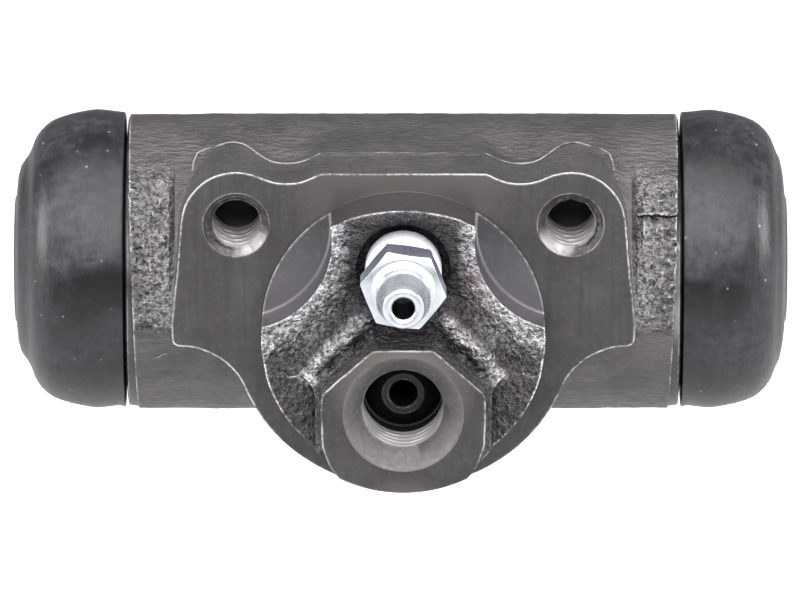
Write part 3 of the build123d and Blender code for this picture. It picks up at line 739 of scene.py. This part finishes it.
cutIron = {                    # the tones are dark, light, speck and worn edge, the last a painted highlight
    "milledIron": {
        "tones": ("#484547", "#5A5759", "#6C696B", "#F6F5F5"), "roughness": 0.42, "paintedLightTone": "#7B7573",
        # painted light: the flange's top is lighter and a little warmer, and so are patches of the boss's face
        "paintedLight": [((0, 0, 17.5), 13.0), ((0, -10.5, -2.0), 8.5), ((0, -10.5, -18.8), 6.2)],
    },
    "turnedIron": {
        "tones": ("#4C494C", "#5A575B", "#6E6B6F", "#F6F5F5"), "roughness": 0.36, "paintedLightTone": "#8E8C8F",
        # painted highlight along the front of each collar
        "paintedLight": [((-28.9, 9.2, 15.9), 3.5), ((-28.9, 4.6, 12.4), 4.5), ((-28.9, 1.8, 8.2), 4.0),
                   ((28.9, 1.0, 6.0), 4.5), ((28.9, 0.4, 1.0), 4.0)],
    },
    "spotFacedIron": {
        "tones": ("#454246", "#5C595C", "#7E7B80", "#B4B2B4"), "roughness": 0.36, "ringWidth": 0.35,
    },
    "threadedIron": {
        "tones": ("#1E1C1D", "#343233", "#4A4748", "#BDBABB"), "roughness": 0.4, "metal": 0.3,
        "crestHighlightTone": "#C9C6C4", "crests": [((casting["boltX"], casting["boltZ"], 0), holes["boltCore"]),
                                           ((0, casting["portZ"], 0), holes["portCore"])],
    },
    "reamedIron": {
        "tones": ("#706D6F", "#827F81", "#A09D9E", "#B9B6B7"), "roughness": 0.55, "depth": 0.0001, "rust": 0.12,
    },
    "chamferedIron": {
        "tones": ("#3E3B3C", "#6A6768", "#A8A5A6", "#9A9798"), "roughness": 0.4, "depth": 0.00014, "rust": 0.5,
        # painted highlight on the lower side of each bolt hole's chamfer, which faces up
        "scar": 2.85, "paintedLightTone": "#B4B1B2", "paintedLight": [((-15.8, 0.4, 9.0), 2.6), ((16.0, 0.4, 8.8), 2.4)],
    },
    # painted shade: the deep end of each bolt hole is near black
    "shadedDrilledIron": {"tones": ("#0B0A0B", "#161516", "#242324", "#343233"), "roughness": 0.5, "metal": 0.3},
    # painted highlight: the raised fin lines get lighter tones
    "flashHighlightIron": {"tones": ("#6A6769", "#8A8789", "#9C999B", "#AAA8A9"), "roughness": 0.5},
}
castingFinishes = [sandCastIron()] + [machinedIron(name, look) for name, look in cutIron.items()]

body = roughBlank()
report("blank")
sandSkin(body)
for finish in castingFinishes:
    body.data.materials.append(finish)
thin = body.modifiers.new("Thin", "DECIMATE")
thin.ratio = casting["keptShare"]
applyModifiers(body)
report("skin")
machine(body, castingFinishes)
# the fin and the crack take the last finish, painted light as a highlight
for path, radius in ((flashPath(), flash["radius"]), (flash["crack"], flash["crackRadius"])):
    flashLine(body, path, radius, castingFinishes, len(castingFinishes) - 1)
body.name = "castBody"
finishPiece(body, "body", ["cylinder_body"])
report("casting")


bootShape = {
    "rimGap": 0.34,
    "lengths": (12.0, 11.45),  # left and right, as they sit
    "lift": 0.28,              # a boot sags round its rim and lifts in front
    "outside": [               # distance from the outer end, radius
        (0.0, 4.9), (0.0, 6.6), (0.16, 6.9), (0.24, 7.9), (0.35, 9.0), (0.62, 10.0), (1.05, 10.67), (1.3, 11.0),
        (1.55, 11.4), (1.75, 11.85), (1.92, 12.3), (2.12, 12.82), (2.35, 13.25), (2.78, 13.85), (3.42, 14.46),
        (4.07, 14.9), (4.93, 15.25), (6.0, 15.57), (7.09, 15.8), (8.17, 15.98), (8.8, 16.03), (9.4, 16.0),
        (10.1, 15.92), (10.8, 15.84), (11.3, 15.8), (11.7, 15.86), (11.82, 15.82), (11.86, 15.7),
    ],
    "inside": [(8.6, 14.15), (6.6, 13.7), (5.3, 13.1), (4.6, 12.3), (4.0, 11.0), (3.6, 9.6), (2.0, 5.0),
               (1.85, 4.6), (0.2, 4.6)],
    "wall": 1.9,
    "spigotRadius": 13.36,
    "spigotDepth": 3.75,
    # thicker dust that also paints a sheen of reflected light
    "dustAndSheen": [((-36.1, 3.4, 11.5), 2.8), ((-32.7, 1.5, 8.1), 2.6), ((33.6, 2.4, 9.6), 3.6),
              ((31.4, 1.2, 6.2), 2.0)],
    # thinner dust, darker and glossier, a painted dark reflection
    "darkReflection": [((-33.6, 0.6, 3.0), 4.4), ((-30.6, 0.6, 3.4), 3.6), ((-36.0, 1.2, 3.2), 2.8), ((31.0, 0.5, 3.2), 3.2),
              ((34.8, 1.0, 2.6), 2.6)],
}


def mouldedRubber():
    # Black EPDM from a mould: glossy where the dust is thin, under pale dust that lies in blotches; given spots of
    # thicker dust also paint a sheen of reflected light, and spots of thinner dust, darker and glossier, paint a
    # dark reflection
    material, node, place = startMaterial("mouldedRubber")
    cloud = node("TexNoise", {"Scale": 0.15, "Detail": 5.0, "Roughness": 0.62}, [place])
    dust = node("TexNoise", {"Scale": 0.9, "Detail": 4.0, "Roughness": 0.7}, [place])
    film = node("MapRange", {1: 0.36, 2: 0.64, 3: 0.25}, [cloud])
    # painted sheen: thicker dust in the given spots
    film = node("Math", "ADD", [film, nearPoints(node, place, bootShape["dustAndSheen"])])
    # painted dark reflection: thinner dust in the given spots
    darkReflection = within(node, nearPoints(node, place, bootShape["darkReflection"]), dust, 0.38, 0.56, 1.0, 0.15)
    film = node("Math", {"operation": "SUBTRACT", "use_clamp": True}, [film, darkReflection])
    film = within(node, film, dust, 0.36, 0.64, 1.0, 0.3)
    tone = node("ValToRGB", {"ramp": [(0.0, "#0E0E11"), (1.0, "#404047")]}, [film])
    specks = node("TexVoronoi", {"Scale": 0.5, "Randomness": 1.0}, [place])
    speck = node("MapRange", {1: 0.10, 2: 0.05, 4: 0.7}, [specks.outputs["Distance"]])
    speck = within(node, speck, dust, 0.5, 0.56)
    tone = node("Mix", {7: "#A4A4A8"}, {0: speck, 6: tone})
    gloss = node("MapRange", {1: 0.0, 2: 1.0, 3: 0.34, 4: 0.5}, [film])
    pulled = node("Mapping", {"Scale": (2.2, 0.4, 0.4)}, [place])
    flow = node("TexNoise", {"Scale": 1.0, "Detail": 3.0}, [pulled])
    height = node("Math", {"operation": "MULTIPLY_ADD", 1: 0.5}, {0: dust, 2: flow})
    bump = node("Bump", {"Strength": 0.6, "Distance": 0.00012}, {"Height": height})
    return endMaterial(material, {"IOR": 1.5}, {"Base Color": tone, "Roughness": gloss, "Normal": bump})


def boot(name, side, nodeName, finish):
    length = bootShape["lengths"][0 if side < 0 else 1]
    inner = casting["barrelHalf"] + bootShape["rimGap"]
    outer = casting["barrelHalf"] + 0.2 + length
    short = bootShape["lengths"][0] - length
    wall, spigot, seat = bootShape["wall"], bootShape["spigotRadius"], inner - bootShape["spigotDepth"]
    profile = [(outer - max(drop - short * smoothStep((drop - 0.3) / 1.2), 0), radius)
               for drop, radius in bootShape["outside"]]
    profile += [(inner, spigot + 0.35), (inner - 0.2, spigot), (seat, spigot), (seat - 0.25, spigot - 0.25),
                (seat - 0.25, spigot - wall), (inner + wall, spigot - wall)]
    profile += [(outer - drop, radius) for drop, radius in bootShape["inside"]]
    profile.append(profile[0])
    bm = bmesh.new()
    turned(bm, profile, axisPoint, (side, 0, 0), 144)
    for vert in bm.verts:  # soft rubber never lies quite round
        fromRim = side * vert.co.x - inner
        if fromRim > -0.1:
            swell = noise.noise(Vector((vert.co.x * 0.12, vert.co.y * 0.16, vert.co.z * 0.16 + side)))
            outward = Vector((0, vert.co.y - axisPoint[1], vert.co.z - axisPoint[2])).normalized()
            vert.co += outward * swell * 0.07 * smoothStep(fromRim / 1.5)
            vert.co.z += bootShape["lift"] * smoothStep((fromRim + 0.6) / 1.2)
    finishPiece(meshObject(name, bm, [finish]), "body", [nodeName], 50)


rubber = mouldedRubber()
boot("bootLeft", -1, "boot_left", rubber)
boot("bootRight", 1, "boot_right", rubber)
report("boots")


bleederShape = {
    "hexWidth": 8.0,
    "hexStart": 8.95,
    "hexThickness": 3.85,
    "hexTurn": -8.4,
    "hexFace": 3.55,
    "edge": 0.14,
    "shank": 4.05,
    "groove": 3.7,
    "passage": 1.2,
    "nipple": [                # distance from the hexagon's front, radius
        (-0.1, 3.5), (0.03, 3.38), (0.2, 3.2), (0.45, 2.95), (0.7, 2.78), (0.95, 2.72), (1.15, 2.74), (1.3, 2.84),
        (1.45, 2.87), (2.6, 2.87), (2.85, 2.8), (3.5, 2.6), (4.3, 2.4), (5.2, 2.22), (5.45, 2.1), (5.58, 1.9),
        (5.6, 1.65), (5.5, 1.38), (5.25, 1.2),
    ],
}


def zincPlate():
    # Bright zinc on turned steel: bluish white, soft gloss, faint lathe rings round the axis
    material, node, place = startMaterial("zincPlate")
    cloud = node("TexNoise", {"Scale": 0.6, "Detail": 4.0, "Roughness": 0.6}, [place])
    tone = node("ValToRGB", {"ramp": [(0.32, "#CDD2DB"), (0.7, "#E8ECF2")]}, [cloud])
    ringed = node("Mapping", {"Scale": (0.1, 5.5, 0.1)}, [place])
    turning = node("TexNoise", {"Scale": 1.0, "Detail": 2.0}, [ringed])
    rings = node("MapRange", {1: 0.5, 2: 0.75, 4: 0.3}, [turning])
    tone = node("Mix", {7: "#9CA3B0"}, {0: rings, 6: tone})
    # the shank is frosted; the hexagon's upper flats are painted dark, a painted dark reflection
    x, y, z = node("SeparateXYZ", links=[place]).outputs
    shank = node("MapRange", {1: -8.75, 2: -8.6}, [y])
    tone = node("Mix", {7: "#E6E9EF"}, {0: shank, 6: tone})
    metal = node("MapRange", {3: 0.82, 4: 0.2}, [shank])
    upward = node("Math", {"operation": "SUBTRACT", 1: casting["bleederZ"]}, [z])
    across = node("CombineXYZ", links=[x, upward])
    offAxis = node("VectorMath", "LENGTH", [across])
    upperFlatsDarkReflection = node("MapRange", {1: 3.86, 2: 3.94, 4: 0.85}, [offAxis.outputs["Value"]])
    upperFlatsDarkReflection = within(node, upperFlatsDarkReflection, upward, 0.5, 1.5)
    upperFlatsDarkReflection = within(node, upperFlatsDarkReflection, y, -12.35, -12.2)
    upperFlatsDarkReflection = within(node, upperFlatsDarkReflection, y, -9.2, -9.35)
    tone = node("Mix", {7: "#A3A4BA"}, {0: upperFlatsDarkReflection, 6: tone})
    # painted highlight along the outer edges
    edge = outerEdge(node, 0.86, 0.62, 0.8)
    tone = node("Mix", {7: "#F4F6F9"}, {0: edge, 6: tone})
    gloss = node("MapRange", {1: 0.3, 2: 0.7, 3: 0.24, 4: 0.34}, [cloud])
    rounded = node("Bevel", {"samples": 4, "Radius": edges["round"]})
    bump = node("Bump", {"Strength": 0.4, "Distance": edges["marks"]}, {"Height": turning, "Normal": rounded})
    return endMaterial(material, {}, {"Base Color": tone, "Roughness": gloss, "Normal": bump, "Metallic": metal})


def shadedPassageSteel():
    # The bare wall of a drilled passage, painted dark for the shade deep inside it, with drill marks
    material, node, place = startMaterial("shadedPassageSteel")
    ringed = node("Mapping", {"Scale": (0.3, 4.0, 0.3)}, [place])
    marks = node("TexNoise", {"Scale": 1.0, "Detail": 3.0}, [ringed])
    tone = node("ValToRGB", {"ramp": [(0.35, "#1E2126"), (0.7, "#3A3E46")]}, [marks])
    bump = node("Bump", {"Strength": 0.4, "Distance": edges["marks"]}, {"Height": marks})
    return endMaterial(material, {"Metallic": 0.9, "Roughness": 0.5}, {"Base Color": tone, "Normal": bump})


def bleeder(finishes):
    origin, out = (0, 0, casting["bleederZ"]), (0, -1, 0)
    start, end = bleederShape["hexStart"], bleederShape["hexStart"] + bleederShape["hexThickness"]
    corner = bleederShape["hexWidth"] / 2 / math.cos(math.radians(30))
    bm = bmesh.new()
    points = [math.radians(bleederShape["hexTurn"] + 60 * index) for index in range(6)]
    prism(bm, [(corner * math.cos(a), casting["bleederZ"] + corner * math.sin(a)) for a in points], -start, -end)
    bmesh.ops.bevel(bm, geom=[edge for edge in bm.edges if abs(edge.verts[0].co.y - edge.verts[1].co.y) > 1],
                    offset=bleederShape["edge"], affect="EDGES", segments=3, profile=0.5, material=-1)
    screw = meshObject("bleederScrew", bm, finishes)
    face, rise = bleederShape["hexFace"], (corner - bleederShape["hexFace"]) * math.tan(math.radians(30))
    dome = [(start, 0), (start, face), (start + 0.04, face + 0.12), (start + rise, corner + 0.05),
            (end - rise, corner + 0.05), (end - 0.04, face + 0.12), (end, face), (end, 0)]
    combine(screw, ringCutter(dome, origin, out, 96, 0), finishes, "INTERSECT")
    edge, shank, groove = bleederShape["edge"], bleederShape["shank"], bleederShape["groove"]
    profile = [(-3.0, 0), (-3.0, 1.0), (-1.95, 2.8), (-0.4, 2.8)] + stretch(0.2, 3.9, 3.0, 0.14)
    profile += [(4.3, 3.35), (4.3, shank - edge), (4.3 + edge, shank), (start - 2.3, shank),
                (start - 2.2, shank - 0.16), (start - 2.05, shank - 0.16), (start - 1.95, shank - 0.03),
                (start - 1.15, shank - 0.03), (start - 1.0, shank - edge), (start - 0.95, groove),
                (start + 0.1, groove), (start + 0.2, 3.1)]
    profile += [(end + along, radius) for along, radius in bleederShape["nipple"]]
    profile += [(-0.6, bleederShape["passage"]), (-0.9, 0)]
    bm = bmesh.new()
    turned(bm, profile, origin, out, 96)
    cutThread(bm, origin, out, 0.95, 0.38, 0.2, 3.91, 3.0)
    for wall in bm.faces:  # the passage's wall is one band of long faces, and takes the finish painted dark for shade
        centre = wall.calc_center_median()
        if math.hypot(centre.x, centre.z - origin[2]) < bleederShape["passage"] and -10 < centre.y < 3:
            wall.material_index = 1
    combine(screw, bm, finishes, "UNION")
    bm = bmesh.new()
    turned(bm, [(-5, 0), (-5, 0.9), (5, 0.9), (5, 0)], (0, 1.0, casting["bleederZ"]), (1, 0, 0), 32)
    combine(screw, bm, finishes)
    finishPiece(screw, "bleeder", ["bleeder_screw"], 35)


bleeder([zincPlate(), shadedPassageSteel()])
report("bleeder")


def plainMetal(name, look):
    # Bare metal with fine marks that run round the bore's axis
    material, node, place = startMaterial(name)
    ringed = node("Mapping", {"Scale": (4.0, 4.0 * look["turning"], 4.0 * look["turning"])}, [place])
    marks = node("TexNoise", {"Scale": 1.0, "Detail": 3.0}, [ringed])
    cloud = node("TexNoise", {"Scale": 0.25, "Detail": 3.0, "Roughness": 0.6}, [place])
    tone = node("ValToRGB", {"ramp": [(0.3, look["dark"]), (0.7, look["light"])]}, [cloud])
    lines = node("MapRange", {1: 0.5, 2: 0.75, 4: 0.35}, [marks])
    tone = node("Mix", {7: look["dark"]}, {0: lines, 6: tone})
    bump = node("Bump", {"Strength": 0.3, "Distance": edges["marks"]}, {"Height": marks})
    return endMaterial(material, {"Metallic": 1.0, "Roughness": look["roughness"]},
                       {"Base Color": tone, "Normal": bump})


def sealRubber():
    # Smooth black rubber of the piston cups, wet with assembly fluid
    material, node, place = startMaterial("sealRubber")
    cloud = node("TexNoise", {"Scale": 0.35, "Detail": 3.0}, [place])
    tone = node("ValToRGB", {"ramp": [(0.3, "#0F0F10"), (0.7, "#1F1F20")]}, [cloud])
    return endMaterial(material, {"Roughness": 0.35}, {"Base Color": tone})


anodised = plainMetal("anodisedAluminium",
                      {"dark": "#9A9890", "light": "#C4C1B8", "roughness": 0.38, "turning": 0.05})
pressed = plainMetal("pressedSteel", {"dark": "#85868A", "light": "#A9AAAD", "roughness": 0.42, "turning": 0.6})
drawnWire = plainMetal("drawnWire", {"dark": "#5E5F62", "light": "#85868A", "roughness": 0.4, "turning": 0.3})
seal = sealRubber()
nodeFinishes = {
    "piston_left": anodised, "piston_right": anodised, "cup_left": seal, "cup_right": seal,
    "expander_left": pressed, "expander_right": pressed, "return_spring": drawnWire,
}
for nodeName, finish in nodeFinishes.items():
    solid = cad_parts[nodeName]
    solid.data.materials.clear()
    solid.data.materials.append(finish)
report("inner parts")


studio = {
    "floorDrop": 0.06,         # floor below the object, in metres
    "floorGlow": 0.95,         # added where the camera sees the floor, and where a reflection does
    "floorMirror": 0.45,
    "front": 0.42,             # the room's light in front of the object and behind it
    "behind": 0.24,
    "panels": {                # place, size, watts
        "leftPanel": ((-0.6, -0.015, 0.165), (0.3, 0.26), 2.5),
        "rightPanel": ((0.6, -0.015, 0.165), (0.3, 0.26), 2.5),
        "topPanel": ((0.0, -0.12, 0.25), (0.6, 0.4), 1.95),
        "frontPanel": ((0.0, -0.72, 0.62), (0.5, 0.4), 1.9),
    },
}


def softLight(name, place, size, watts):
    lamp = bpy.data.lights.new(name, "AREA")
    lamp.shape = "RECTANGLE"
    lamp.size, lamp.size_y = size
    lamp.energy = watts
    holder = bpy.data.objects.new(name, lamp)
    scene.collection.objects.link(holder)
    aim = (-Vector(place)).to_track_quat("-Z", "Y").to_matrix().to_4x4()
    holder.matrix_world = Matrix.Translation(place) @ aim


def paleFloor():
    bm = bmesh.new()
    bmesh.ops.create_grid(bm, x_segments=1, y_segments=1, size=6.0)
    bmesh.ops.translate(bm, verts=bm.verts, vec=(0, 0, -casting["discRadius"] / 1000 - studio["floorDrop"]))
    floor = meshObject("floor", bm)
    material = bpy.data.materials.new("palePaper")
    node = emptyTree(material)
    rays = node("LightPath")
    seen = node("Math", "MAXIMUM", [rays.outputs["Is Glossy Ray"], rays.outputs["Is Transmission Ray"]])
    seen = node("Math", {"operation": "MULTIPLY", 1: studio["floorMirror"]}, [seen])
    glow = {"operation": "MULTIPLY_ADD", 1: studio["floorGlow"]}
    glow = node("Math", glow, {0: rays.outputs["Is Camera Ray"], 2: seen})
    paper = node("BsdfDiffuse", {"Color": "#B6B6B6"})
    shine = node("Emission", {"Color": "#FFFFFF"}, {"Strength": glow})
    both = node("AddShader", links=[paper, shine])
    node("OutputMaterial", links=[both])
    floor.data.materials.append(material)


def softRoom():
    world = bpy.data.worlds.new("studio")
    scene.world = world
    node = emptyTree(world)
    spot = node("TexCoord")
    depth = node("SeparateXYZ", links=[spot.outputs["Object"]]).outputs[1]
    level = node("MapRange", {1: -1.0, 2: 1.0, 3: studio["front"], 4: studio["behind"]}, [depth])
    room = node("Background", {"Color": "#FFFFFF"}, {"Strength": level})
    node("OutputWorld", links=[room])


paleFloor()
softRoom()
for panelName, (place, size, watts) in studio["panels"].items():
    softLight(panelName, place, size, watts)

view = {
    "target": (-0.00035, 0.0163, -0.00266),
    "elevation": 19,
    "distance": 1.25,
    "lens": 522,
}
cameraData = bpy.data.cameras.new("camera")
cameraData.lens = view["lens"]
cameraData.sensor_width = 36
cameraData.clip_end = 50
camera = bpy.data.objects.new("camera", cameraData)
scene.collection.objects.link(camera)
elevation = math.radians(view["elevation"])
toCamera = Vector((0, -math.cos(elevation), math.sin(elevation)))
stand = Matrix.Translation(Vector(view["target"]) + toCamera * view["distance"])
camera.matrix_world = stand @ toCamera.to_track_quat("Z", "Y").to_matrix().to_4x4()
scene.camera = camera
scene.view_settings.view_transform = "Standard"

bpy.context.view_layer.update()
report("scene")
